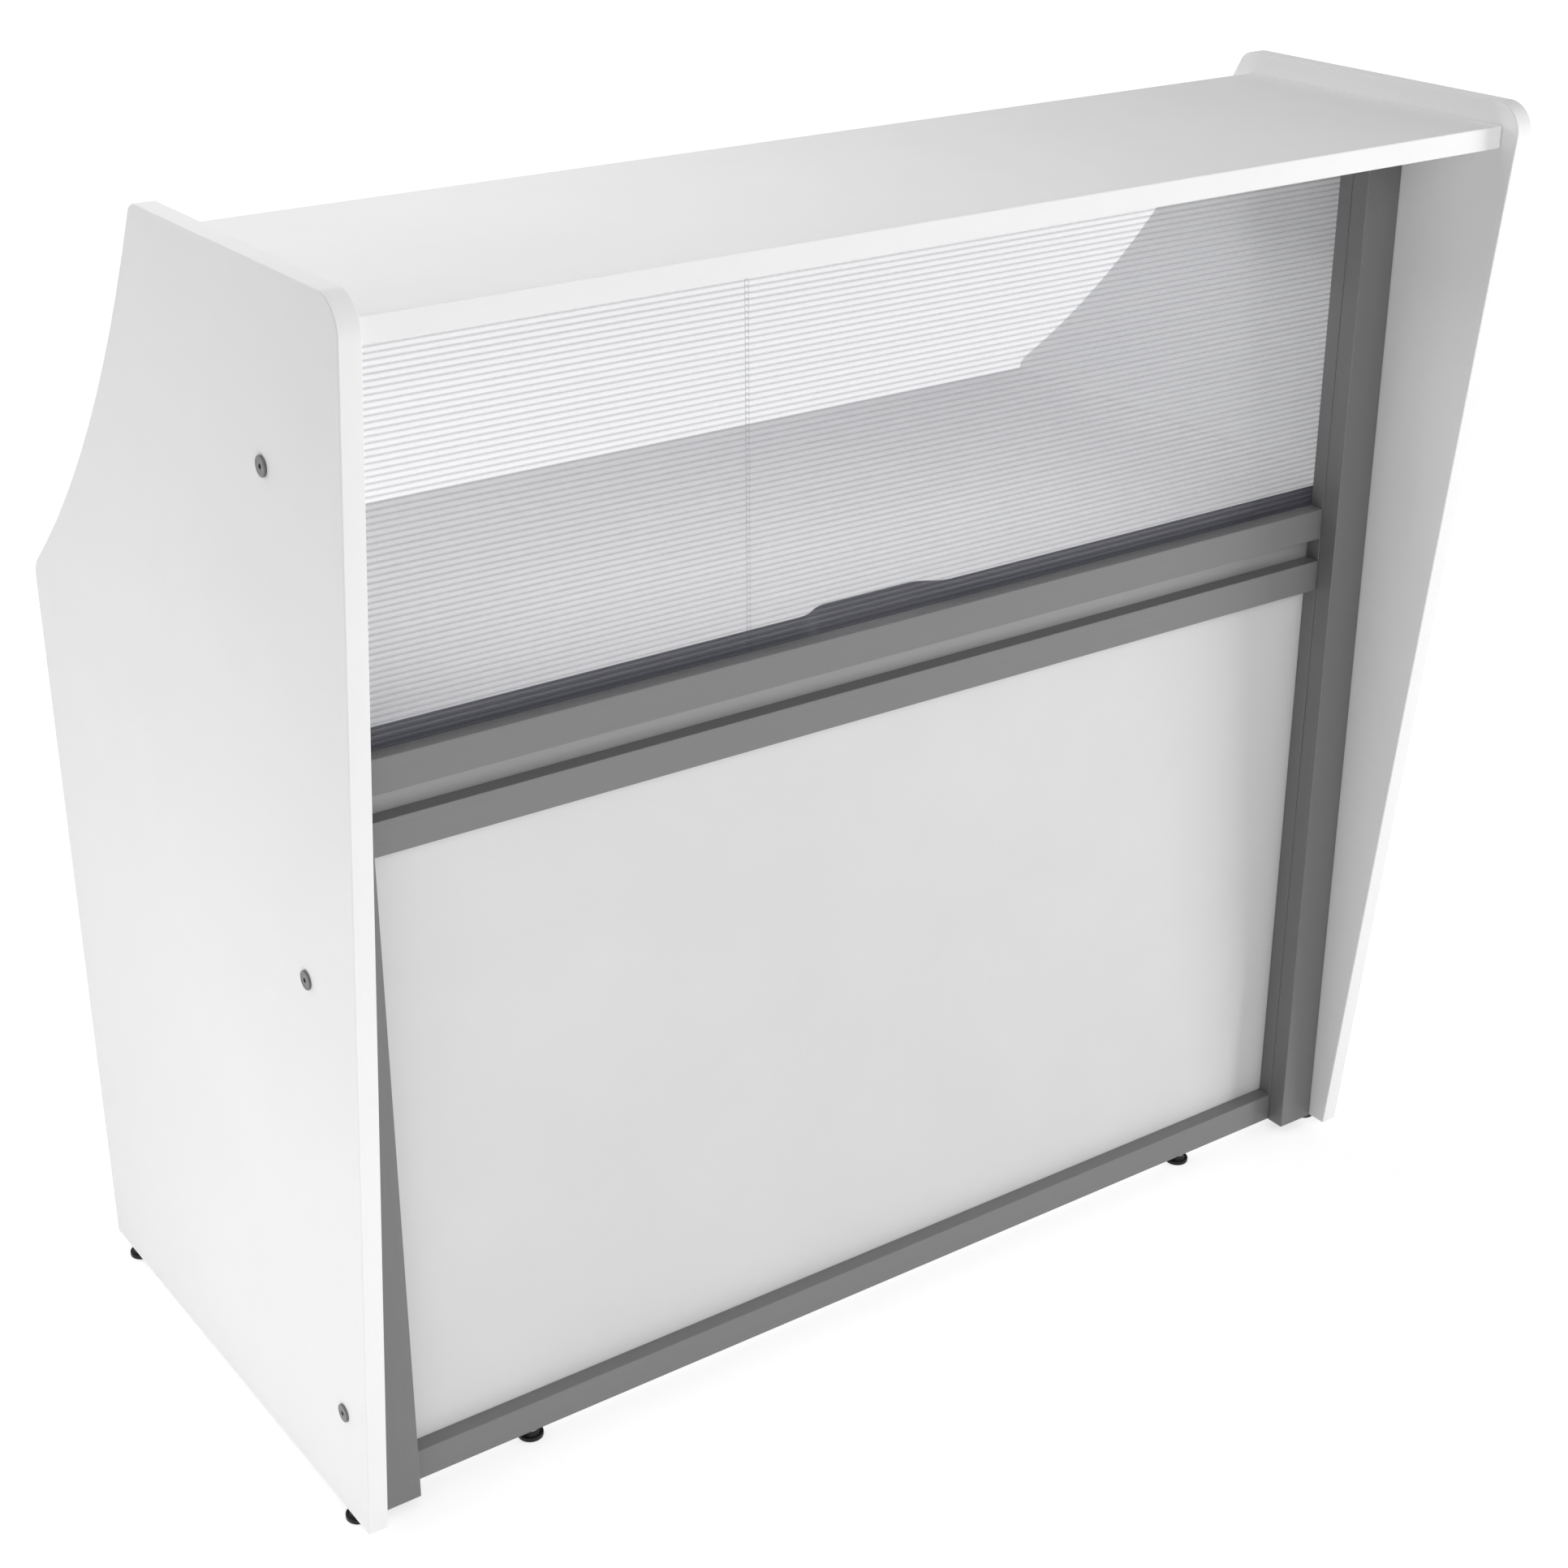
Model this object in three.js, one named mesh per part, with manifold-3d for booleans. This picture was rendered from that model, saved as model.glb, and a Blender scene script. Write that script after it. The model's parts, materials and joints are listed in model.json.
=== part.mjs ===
// Reception desk: white board sides, shelf and worktop round an aluminium front with a fluted window.
// Millimetres. +X is the visitor's right, +Y runs to the user's side, +Z is up, floor at Z = 0.
import * as THREE from "three";
import { mergeVertices } from "three/addons/utils/BufferGeometryUtils.js";
import Module from "manifold-3d";

// Overall size
const width = 1222; // outer face to outer face of the side panels
const height = 1167; // floor to the top edge of the side panels
const baseZ = 10; // floor to the underside of panels, posts and bottom rail
const seatGap = 0.25; // gap kept where one piece seats on another

// Side panels, with Y measured from the front plane of the rails
const panelThickness = 19;
const frontBottomY = -42; // front edge at the bottom
const frontTopY = -160; // front edge carried up to the top edge
const frontRadius = 28;
const backY = 541.5; // straight back edge
const kneeRise = 8; // worktop surface up to where the back edge starts to curve
const kneeRound = 14;
const topBackY = 205; // curved back edge carried up to the top edge
const topRound = 12;
const backSag = 26; // how far the curved back edge bows in from a straight line

// Boards across the desk
const shelfThickness = 21;
const shelfDrop = 21; // top edge of the panels down to the shelf surface
const shelfFrontY = -138;
const shelfBackY = 195;
const worktopThickness = 30;
const worktopSurfaceZ = 755;
const worktopFrontY = 31;
const notchDepth = 14.5;
const notchFloorWidth = 92;
const notchRampWidth = 42;

// Aluminium front
const postWidth = 45;
const postDepth = 21;
const postBoltWall = 8; // wall on the panel side, which takes the bolt threads
const stileWall = 2; // the other walls of posts, stiles and rails
const frameDepth = 17; // stiles and rails, front to back
const railHeight = 32;
const lowerRailZ = 653; // underside
const stripHeight = 24; // recess that shows between lower rail and sill rail

// Sheets behind the frame
const sheetThickness = 6;
const sheetOverlap = 23; // behind the stiles
const sheetInset = 10; // sheet edge from the outer edge of the bottom and top rails
const seamX = -150; // butt seam of the window
const fluteHeight = 5.46;
const fluteWall = 0.5;
const beadLip = 12; // how far a bead reaches over the sheets
const beadThickness = 3;

// Connector bolts
const boltInset = 117; // lowest and highest bolt from the ends of the post
const boltRadius = 3;
const boltHeadRadius = 8.6;
const boltHeadThickness = 2;
const boltHeadChamfer = 0.5;
const boltSocketRadius = 2.4;
const boltSocketDepth = 2.6;
const boltTip = 2; // past the inside of the bolt wall

// Levelling feet and their inserts
const footInset = 40; // panel feet from the ends of the panel's bottom edge
const railFootInset = 132; // rail feet from the ends of the bottom rail
const padRadius = 12.5;
const padHeight = 4.5;
const padChamfer = 0.8;
const neckBottomRadius = 8.5;
const neckTopRadius = 7;
const stemRadius = 4;
const stemLength = 21;
const stemClearance = 0.1;
const insertRadius = 5.5;
const insertLength = 23;
const flangeRadius = 7.5;
const flangeThickness = 1;

// Hidden fittings
const dowelRadius = 4;
const dowelInPanel = 10;
const dowelInShelf = 20;
const dowelInset = 60; // from the shelf's front and back edges
const angleLeg = 25;
const angleThickness = 2.5;
const angleInset = 70; // from the worktop's front and back edges
const angleScrewInset = 45; // from the ends of the angle
const screwRadius = 1.75;
const screwLength = 13;
const screwHeadRadius = 4;
const screwHeadHeight = 2.4;

// Levels and planes worked out from the sizes above
const outerX = width / 2;
const innerX = outerX - panelThickness;
const postInnerX = innerX - postWidth;
const shelfSurfaceZ = height - shelfDrop;
const frameTopZ = shelfSurfaceZ - shelfThickness - seatGap;
const kneeZ = worktopSurfaceZ + kneeRise;
const sillRailZ = lowerRailZ + railHeight + stripHeight;
const topRailZ = frameTopZ - railHeight;
const sheetY = frameDepth + seatGap;
const sheetHalfWidth = postInnerX + sheetOverlap;
const beadTopZ = frameTopZ - sheetInset;
const beadBottomZ = baseZ + sheetInset;
const boltY = -postDepth / 2;
const boltLevels = [baseZ + boltInset, (baseZ + frameTopZ) / 2, frameTopZ - boltInset];
const dowelLevels = [shelfFrontY + dowelInset, shelfBackY - dowelInset];
const dowelZ = shelfSurfaceZ - shelfThickness / 2;
const insertTopZ = baseZ + insertLength;
const neckTopZ = baseZ - flangeThickness - 2 * seatGap;
const panelFootX = outerX - panelThickness / 2;
const panelFootY = [frontBottomY + footInset, backY - footInset];
const railFootX = postInnerX - railFootInset;
const railFootY = frameDepth / 2;
const angleTopZ = worktopSurfaceZ - worktopThickness - seatGap;
const angleFrontY = worktopFrontY + angleInset;
const angleBackY = backY - angleInset;
const angleScrewY = [angleFrontY + angleScrewInset, angleBackY - angleScrewInset];

const sides = [
  { name: "left", sign: -1 },
  { name: "right", sign: 1 },
];

// Materials
const paint = (color, roughness, metalness = 0) => ({ color, roughness, metalness });
const whiteBoard = paint(0xf2f2f1, 0.45);
const aluminium = paint(0x9b9da0, 0.38, 0.9);
const clearSheet = paint(0xd9dae4, 0.2);
const frostedSheet = paint(0xe6e7ea, 0.6);
const steel = paint(0x7d7f82, 0.4, 0.9);
const blackPlastic = paint(0x1d1d1e, 0.6);
const beech = paint(0xc9a36f, 0.7);

const desk = new THREE.Group();

function add(name, geometry, finish) {
  const mesh = new THREE.Mesh(geometry, new THREE.MeshStandardMaterial(finish));
  mesh.name = name;
  desk.add(mesh);
  return mesh;
}

// Solids for booleans
const wasm = await Module();
wasm.setup();

function toSolid(geometry) {
  const bare = geometry.clone();
  bare.deleteAttribute("normal");
  bare.deleteAttribute("uv");
  const merged = mergeVertices(bare, 1e-3);
  return new wasm.Manifold(
    new wasm.Mesh({
      numProp: 3,
      vertProperties: new Float32Array(merged.attributes.position.array),
      triVerts: new Uint32Array(merged.index.array),
    }),
  );
}

function toGeometry(solid) {
  const mesh = solid.getMesh();
  const geometry = new THREE.BufferGeometry();
  geometry.setAttribute("position", new THREE.BufferAttribute(mesh.vertProperties, 3));
  geometry.setIndex(new THREE.BufferAttribute(mesh.triVerts, 1));
  return geometry;
}

function cut(geometry, tools) {
  const cutter = tools.map(toSolid).reduce((all, one) => all.add(one));
  return toGeometry(toSolid(geometry).subtract(cutter));
}

// Shapes and extrusions
const holeSteps = 8; // steps in half a turn of a drilled hole
const turnedSides = 20;
const screwSides = 12;
const yzToX = new THREE.Matrix4().makeBasis(
  new THREE.Vector3(0, 1, 0),
  new THREE.Vector3(0, 0, 1),
  new THREE.Vector3(1, 0, 0),
);

// A shape drawn in X and Y, extruded up from z0 to z1.
function alongZ(shape, z0, z1, curveSegments = holeSteps) {
  const geometry = new THREE.ExtrudeGeometry(shape, {
    depth: z1 - z0,
    bevelEnabled: false,
    curveSegments,
  });
  return geometry.translate(0, 0, z0);
}

// A shape drawn in Y and Z, extruded sideways from x0 to x1.
function alongX(shape, x0, x1, curveSegments = holeSteps) {
  const geometry = new THREE.ExtrudeGeometry(shape, {
    depth: x1 - x0,
    bevelEnabled: false,
    curveSegments,
  });
  return geometry.applyMatrix4(yzToX).translate(x0, 0, 0);
}

function rectangle(u0, v0, u1, v1, Kind = THREE.Shape) {
  return new Kind([
    new THREE.Vector2(u0, v0),
    new THREE.Vector2(u1, v0),
    new THREE.Vector2(u1, v1),
    new THREE.Vector2(u0, v1),
  ]);
}

function circle(u, v, radius, Kind = THREE.Shape) {
  const path = new Kind();
  path.absarc(u, v, radius, 0, 2 * Math.PI, false);
  return path;
}

// A box section: outer rectangle less an inner one.
function tube(u0, v0, u1, v1, wall, firstWall = wall) {
  const shape = rectangle(u0, v0, u1, v1);
  shape.holes.push(rectangle(u0 + firstWall, v0 + wall, u1 - wall, v1 - wall, THREE.Path));
  return shape;
}

// A turned piece about +Z from [radius, level] pairs, listed from the bottom up.
function turned(profile, segments = turnedSides) {
  const points = profile.map(([radius, level]) => new THREE.Vector2(radius, level));
  return new THREE.LatheGeometry(points, segments).rotateX(Math.PI / 2);
}

// The left piece as drawn, or its mirror image on the right.
function onSide(geometry, sign) {
  if (sign < 0) return geometry;
  const flat = geometry.index ? geometry.toNonIndexed() : geometry.clone();
  flat.scale(-1, 1, 1);
  const position = flat.getAttribute("position");
  const mirrored = new Float32Array(position.array.length);
  for (let i = 0; i < position.count; i += 3) {
    [i, i + 2, i + 1].forEach((from, k) => {
      mirrored[3 * (i + k)] = position.getX(from);
      mirrored[3 * (i + k) + 1] = position.getY(from);
      mirrored[3 * (i + k) + 2] = position.getZ(from);
    });
  }
  const result = new THREE.BufferGeometry();
  return result.setAttribute("position", new THREE.BufferAttribute(mirrored, 3));
}

// Side panels: slanting front, rounded top front, curved back above the worktop.
function panelOutline() {
  const knee = new THREE.Vector2(backY, kneeZ);
  const top = new THREE.Vector2(topBackY, height);
  const chord = top.clone().sub(knee);
  const inward = new THREE.Vector2(-chord.y, -Math.abs(chord.x)).normalize();
  const middle = knee.clone().add(top).multiplyScalar(0.5);
  const control = middle.addScaledVector(inward, 2 * backSag);
  const curveStart = knee.clone().lerp(control, kneeRound / knee.distanceTo(control));
  const curveEnd = top.clone().lerp(control, topRound / top.distanceTo(control));

  const front = new THREE.Vector2(frontTopY - frontBottomY, height - baseZ).normalize();
  const normal = new THREE.Vector2(front.y, -front.x);
  const climb = (height - frontRadius * (1 + normal.y) - baseZ) / front.y;
  const centreY = frontBottomY + climb * front.x + frontRadius * normal.x;
  const centreZ = height - frontRadius;
  const lastAngle = Math.atan2(-normal.y, -normal.x) + 2 * Math.PI;

  const shape = new THREE.Shape();
  shape.moveTo(frontBottomY, baseZ);
  shape.lineTo(backY, baseZ);
  shape.lineTo(backY, kneeZ - kneeRound);
  shape.quadraticCurveTo(knee.x, knee.y, curveStart.x, curveStart.y);
  shape.quadraticCurveTo(control.x, control.y, curveEnd.x, curveEnd.y);
  shape.quadraticCurveTo(top.x, top.y, topBackY - topRound, height);
  shape.lineTo(centreY, height);
  shape.absarc(centreY, centreZ, frontRadius, Math.PI / 2, lastAngle, false);
  shape.closePath();
  for (const level of boltLevels) {
    shape.holes.push(circle(boltY, level, boltRadius + seatGap, THREE.Path));
  }
  return { shape, frontmostY: centreY - frontRadius };
}

const outline = panelOutline();

function sidePanel() {
  const panelSteps = 12;
  const board = alongX(outline.shape, -outerX, -innerX, panelSteps);
  const insertHoles = panelFootY.map((y) =>
    alongZ(circle(-panelFootX, y, insertRadius + seatGap), baseZ - 1, insertTopZ + seatGap),
  );
  const dowelHoles = dowelLevels.map((y) =>
    alongX(circle(y, dowelZ, dowelRadius + seatGap), -innerX - dowelInPanel - seatGap, 1 - innerX),
  );
  const screwHoles = angleScrewY.map((y) =>
    alongX(
      circle(y, angleTopZ - angleLeg / 2, screwRadius + seatGap),
      -innerX - screwLength - seatGap,
      1 - innerX,
    ),
  );
  return cut(board, [...insertHoles, ...dowelHoles, ...screwHoles]);
}

for (const { name, sign } of sides) {
  add(`side_panel_${name}`, onSide(sidePanel(), sign), whiteBoard);
}

// Transaction shelf, doweled between the panels.
const boardEndX = innerX - seatGap;
const shelfBoard = alongZ(
  rectangle(-boardEndX, shelfFrontY, boardEndX, shelfBackY),
  shelfSurfaceZ - shelfThickness,
  shelfSurfaceZ,
);
const shelfHoles = sides.flatMap(({ sign }) =>
  dowelLevels.map((y) => {
    const end = sign * (innerX + 1);
    const bottom = sign * (innerX - dowelInShelf - seatGap);
    return alongX(
      circle(y, dowelZ, dowelRadius + seatGap),
      Math.min(end, bottom),
      Math.max(end, bottom),
    );
  }),
);
add("transaction_shelf", cut(shelfBoard, shelfHoles), whiteBoard);

for (const { name, sign } of sides) {
  ["front", "back"].forEach((place, i) => {
    const dowel = alongX(
      circle(dowelLevels[i], dowelZ, dowelRadius),
      -innerX - dowelInPanel,
      -innerX + dowelInShelf,
    );
    add(`shelf_dowel_${name}_${place}`, onSide(dowel, sign), beech);
  });
}

// Worktop with a cable notch that eases in and out along its front edge.
function worktopOutline() {
  const floorX = notchFloorWidth / 2;
  const mouthX = floorX + notchRampWidth;
  const middleX = (floorX + mouthX) / 2;
  const floorY = worktopFrontY + notchDepth;
  const shape = new THREE.Shape();
  shape.moveTo(-boardEndX, worktopFrontY);
  shape.lineTo(-mouthX, worktopFrontY);
  shape.bezierCurveTo(-middleX, worktopFrontY, -middleX, floorY, -floorX, floorY);
  shape.lineTo(floorX, floorY);
  shape.bezierCurveTo(middleX, floorY, middleX, worktopFrontY, mouthX, worktopFrontY);
  shape.lineTo(boardEndX, worktopFrontY);
  shape.lineTo(boardEndX, backY);
  shape.lineTo(-boardEndX, backY);
  shape.closePath();
  return shape;
}

const angleMiddleX = innerX - seatGap - angleLeg / 2;
const worktopBottomZ = worktopSurfaceZ - worktopThickness;
const notchSteps = 8;
const worktopBoard = alongZ(worktopOutline(), worktopBottomZ, worktopSurfaceZ, notchSteps);
const worktopScrewHoles = sides.flatMap(({ sign }) =>
  angleScrewY.map((y) =>
    alongZ(
      circle(sign * angleMiddleX, y, screwRadius + seatGap),
      worktopBottomZ - 1,
      worktopBottomZ + screwLength + seatGap,
    ),
  ),
);
add("worktop", cut(worktopBoard, worktopScrewHoles), whiteBoard);

// Steel angles that carry the worktop, and their screws.
function worktopAngle() {
  const outer = -innerX + seatGap;
  const shape = new THREE.Shape();
  shape.moveTo(outer, angleTopZ);
  shape.lineTo(outer, angleTopZ - angleLeg);
  shape.lineTo(outer + angleThickness, angleTopZ - angleLeg);
  shape.lineTo(outer + angleThickness, angleTopZ - angleThickness);
  shape.lineTo(outer + angleLeg, angleTopZ - angleThickness);
  shape.lineTo(outer + angleLeg, angleTopZ);
  shape.closePath();
  const geometry = new THREE.ExtrudeGeometry(shape, {
    depth: angleBackY - angleFrontY,
    bevelEnabled: false,
  });
  geometry.rotateX(Math.PI / 2).translate(0, angleBackY, 0);
  const holes = angleScrewY.flatMap((y) => [
    alongX(circle(y, angleTopZ - angleLeg / 2, screwRadius + seatGap), -innerX, -postInnerX),
    alongZ(
      circle(-angleMiddleX, y, screwRadius + seatGap),
      angleTopZ - 2 * angleThickness,
      angleTopZ + 1,
    ),
  ]);
  return cut(geometry, holes);
}

// A pan-head screw about +Z, its head below the seat level and its shank above.
function angleScrew() {
  const shankTop = angleThickness + seatGap + screwLength;
  return turned(
    [
      [0, -screwHeadHeight],
      [0.6 * screwHeadRadius, -screwHeadHeight],
      [screwHeadRadius, -0.4 * screwHeadHeight],
      [screwHeadRadius, 0],
      [screwRadius, 0],
      [screwRadius, shankTop - screwRadius],
      [0, shankTop],
    ],
    screwSides,
  );
}

for (const { name, sign } of sides) {
  add(`worktop_angle_${name}`, onSide(worktopAngle(), sign), steel);
  ["front", "back"].forEach((place, i) => {
    const seatZ = angleTopZ - angleThickness - seatGap;
    const upward = angleScrew().translate(-angleMiddleX, angleScrewY[i], seatZ);
    const seatX = -innerX + angleThickness + 2 * seatGap;
    const sideways = angleScrew()
      .rotateY(-Math.PI / 2)
      .translate(seatX, angleScrewY[i], angleTopZ - angleLeg / 2);
    add(`worktop_screw_${name}_${place}`, onSide(upward, sign), steel);
    add(`panel_screw_${name}_${place}`, onSide(sideways, sign), steel);
  });
}

// Front posts: box sections with a thick wall against the panel, where the bolts thread in.
function frontPost() {
  const outer = -innerX + seatGap;
  const section = tube(outer, -postDepth, -postInnerX, -seatGap, stileWall, postBoltWall);
  const holes = boltLevels.map((level) =>
    alongX(circle(boltY, level, boltRadius + seatGap), outer - 1, outer + postBoltWall + 1),
  );
  return cut(alongZ(section, baseZ, frameTopZ), holes);
}

for (const { name, sign } of sides) {
  add(`front_post_${name}`, onSide(frontPost(), sign), aluminium);
}

// Frame: stiles behind the posts, and rails between the stiles.
for (const { name, sign } of sides) {
  const section = tube(-innerX + seatGap, 0, -postInnerX, frameDepth, stileWall);
  add(`frame_stile_${name}`, onSide(alongZ(section, baseZ, frameTopZ), sign), aluminium);
}

const railEndX = postInnerX - seatGap;
const railTube = (z) =>
  alongX(tube(0, z, frameDepth, z + railHeight, stileWall), -railEndX, railEndX);
const bottomRailHoles = sides.map(({ sign }) =>
  alongZ(
    circle(sign * railFootX, railFootY, insertRadius + seatGap),
    baseZ - 1,
    baseZ + 2 * stileWall,
  ),
);
add("top_rail", railTube(topRailZ), aluminium);
add("sill_rail", railTube(sillRailZ), aluminium);
add("lower_rail", railTube(lowerRailZ), aluminium);
add("bottom_rail", cut(railTube(baseZ), bottomRailHoles), aluminium);

// Sheets behind the frame, stacked from the bottom rail to the top rail.
const stripBottomZ = lowerRailZ + railHeight / 2;
const stripTopZ = sillRailZ + railHeight / 2;
const plainSheet = (z0, z1) =>
  alongX(
    rectangle(sheetY, z0, sheetY + sheetThickness, z1),
    -sheetHalfWidth + seatGap,
    sheetHalfWidth - seatGap,
  );
add("lower_panel", plainSheet(beadBottomZ, stripBottomZ - seatGap), frostedSheet);
add("infill_strip", plainSheet(stripBottomZ, stripTopZ), aluminium);

// Twin-wall sheet: two skins joined by ribs, open at the ends of its flutes.
function twinWall(x0, x1) {
  const z0 = stripTopZ + seatGap;
  const count = Math.round((beadTopZ - z0) / fluteHeight);
  const pitch = (beadTopZ - z0) / count;
  const shape = rectangle(sheetY, z0, sheetY + sheetThickness, beadTopZ);
  for (let i = 0; i < count; i += 1) {
    const z = z0 + i * pitch;
    shape.holes.push(
      rectangle(
        sheetY + fluteWall,
        z + fluteWall / 2,
        sheetY + sheetThickness - fluteWall,
        z + pitch - fluteWall / 2,
        THREE.Path,
      ),
    );
  }
  return alongX(shape, x0, x1);
}

const windowEndX = sheetHalfWidth - seatGap;
add("window_left", twinWall(-windowEndX, seamX - seatGap / 2), clearSheet);
add("window_right", twinWall(seamX + seatGap / 2, windowEndX), clearSheet);

// Glazing beads: a block beside the sheets with a lip over their back face.
for (const { name, sign } of sides) {
  const outer = -innerX + seatGap;
  const lipY = sheetY + sheetThickness + seatGap;
  const shape = new THREE.Shape();
  shape.moveTo(outer, sheetY);
  shape.lineTo(-sheetHalfWidth, sheetY);
  shape.lineTo(-sheetHalfWidth, lipY);
  shape.lineTo(-sheetHalfWidth + beadLip, lipY);
  shape.lineTo(-sheetHalfWidth + beadLip, lipY + beadThickness);
  shape.lineTo(outer, lipY + beadThickness);
  shape.closePath();
  add(`glazing_bead_${name}`, onSide(alongZ(shape, beadBottomZ, beadTopZ), sign), aluminium);
}

// Connector bolts: flat heads with a hex socket, through the panel into the post.
function connectorBolt() {
  const shank = panelThickness + seatGap + postBoltWall + boltTip + seatGap;
  const body = turned([
    [0, -boltHeadThickness],
    [boltHeadRadius - boltHeadChamfer, -boltHeadThickness],
    [boltHeadRadius, boltHeadChamfer - boltHeadThickness],
    [boltHeadRadius, 0],
    [boltRadius, 0],
    [boltRadius, shank],
    [0, shank],
  ]);
  const hexagon = new THREE.Shape();
  for (let i = 0; i < 6; i += 1) {
    const angle = (i * Math.PI) / 3;
    const u = boltSocketRadius * Math.cos(angle);
    const v = boltSocketRadius * Math.sin(angle);
    if (i === 0) hexagon.moveTo(u, v);
    else hexagon.lineTo(u, v);
  }
  hexagon.closePath();
  const socket = alongZ(hexagon, -boltHeadThickness - 1, boltSocketDepth - boltHeadThickness);
  return cut(body, [socket]);
}

const levelNames = ["lower", "middle", "upper"];
for (const { name, sign } of sides) {
  boltLevels.forEach((level, i) => {
    const bolt = connectorBolt()
      .rotateY(Math.PI / 2)
      .translate(-outerX - seatGap, boltY, level);
    add(`connector_bolt_${name}_${levelNames[i]}`, onSide(bolt, sign), steel);
  });
}

// Levelling feet: round pad, tapered neck and a stem in a flanged insert.
function levellingFoot() {
  return turned([
    [0, 0],
    [padRadius - padChamfer, 0],
    [padRadius, padChamfer],
    [padRadius, padHeight - padChamfer],
    [padRadius - padChamfer, padHeight],
    [neckBottomRadius, padHeight],
    [neckTopRadius, neckTopZ],
    [stemRadius, neckTopZ],
    [stemRadius, neckTopZ + stemLength],
    [0, neckTopZ + stemLength],
  ]);
}

function footInsert() {
  const bore = stemRadius + stemClearance;
  const flangeBottom = baseZ - seatGap - flangeThickness;
  return turned([
    [bore, flangeBottom],
    [flangeRadius, flangeBottom],
    [flangeRadius, baseZ - seatGap],
    [insertRadius, baseZ - seatGap],
    [insertRadius, insertTopZ],
    [bore, insertTopZ],
    [bore, flangeBottom],
  ]);
}

for (const { name, sign } of sides) {
  const places = [
    { place: "front", x: sign * panelFootX, y: panelFootY[0] },
    { place: "back", x: sign * panelFootX, y: panelFootY[1] },
    { place: "rail", x: sign * railFootX, y: railFootY },
  ];
  for (const { place, x, y } of places) {
    add(`foot_insert_${name}_${place}`, footInsert().translate(x, y, 0), steel);
    add(`levelling_foot_${name}_${place}`, levellingFoot().translate(x, y, 0), blackPlastic);
  }
}

// The desk's own frame is centred between its frontmost and rearmost edges.
desk.position.y = -(outline.frontmostY + backY) / 2;
const receptionDesk = new THREE.Group();
receptionDesk.add(desk);

export default receptionDesk;
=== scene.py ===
import json
import math

import bmesh
import bpy
from mathutils import Matrix, Vector


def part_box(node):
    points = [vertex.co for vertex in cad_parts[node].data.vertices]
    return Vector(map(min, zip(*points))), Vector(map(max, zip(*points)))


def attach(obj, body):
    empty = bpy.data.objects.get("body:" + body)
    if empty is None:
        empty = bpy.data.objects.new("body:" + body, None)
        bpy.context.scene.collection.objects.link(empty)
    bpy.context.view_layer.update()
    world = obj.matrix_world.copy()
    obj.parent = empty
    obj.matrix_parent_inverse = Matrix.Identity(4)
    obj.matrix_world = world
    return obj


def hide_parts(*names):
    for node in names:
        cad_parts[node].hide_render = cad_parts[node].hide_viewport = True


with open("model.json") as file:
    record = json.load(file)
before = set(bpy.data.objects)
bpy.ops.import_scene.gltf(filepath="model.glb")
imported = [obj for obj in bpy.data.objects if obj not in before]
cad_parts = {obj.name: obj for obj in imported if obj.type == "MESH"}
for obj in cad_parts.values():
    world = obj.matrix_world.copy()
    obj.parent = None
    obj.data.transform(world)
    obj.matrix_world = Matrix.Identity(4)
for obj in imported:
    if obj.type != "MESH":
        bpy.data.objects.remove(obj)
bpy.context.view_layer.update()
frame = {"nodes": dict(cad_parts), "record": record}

mm = 0.001
record = frame["record"]
bodyOf = {node: body for body, nodes in record["behaviour"]["bodies"].items() for node in nodes}
sideNames = ("left", "right")

# Picking and editing
picking = {
    "joinWithin": 0.005 * mm,  # corners nearer than this are one
    "sharpFrom": 35,  # degrees that an edge turns through before it is eased
    "alongAxis": 0.99,  # share of an edge's direction that lies on its axis
}


def pickOnly(piece):
    if bpy.context.mode != "OBJECT":
        bpy.ops.object.mode_set(mode="OBJECT")
    bpy.ops.object.select_all(action="DESELECT")
    bpy.context.view_layer.objects.active = piece
    if piece is not None:
        piece.select_set(True)


def startEdit(piece, kind="FACE"):
    pickOnly(piece)
    bpy.ops.object.mode_set(mode="EDIT")
    bpy.ops.mesh.select_mode(type=kind)
    bpy.ops.mesh.select_all(action="DESELECT")


def endEdit():
    bpy.ops.object.mode_set(mode="OBJECT")


def pickFaces(piece, test):
    mesh = bmesh.from_edit_mesh(piece.data)
    for face in mesh.faces:
        if test(face.calc_center_median(), face.normal):
            face.select_set(True)
    bmesh.update_edit_mesh(piece.data)


# Sharp edges: all of them, or those along one axis
def pickEdges(piece, axis):
    mesh = bmesh.from_edit_mesh(piece.data)
    for edge in mesh.edges:
        if len(edge.link_faces) != 2:
            continue
        if edge.calc_face_angle() < math.radians(picking["sharpFrom"]):
            continue
        way = (edge.verts[1].co - edge.verts[0].co).normalized()
        if axis is None or abs(way[axis]) > picking["alongAxis"]:
            edge.select_set(True)
    bmesh.update_edit_mesh(piece.data)


def applyModifier(piece, kind, **settings):
    pickOnly(piece)
    modifier = piece.modifiers.new(kind.lower(), kind)
    for key, value in settings.items():
        setattr(modifier, key, value)
    bpy.ops.object.modifier_apply(modifier=modifier.name)


def cutAway(piece, tool):
    applyModifier(piece, "BOOLEAN", operation="DIFFERENCE", object=tool, solver="EXACT")
    bpy.data.objects.remove(tool)


# Joins a node's loose triangles into a copy that can be worked on
def copyOfNode(node, name):
    piece = bpy.data.objects.new(name, frame["nodes"][node].data.copy())
    bpy.context.scene.collection.objects.link(piece)
    piece.data.name = name
    piece.data.materials.clear()
    startEdit(piece)
    bpy.ops.mesh.select_all(action="SELECT")
    bpy.ops.mesh.remove_doubles(threshold=picking["joinWithin"])
    endEdit()
    if piece.data.has_custom_normals:
        bpy.ops.mesh.customdata_custom_splitnormals_clear()
    return piece


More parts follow.
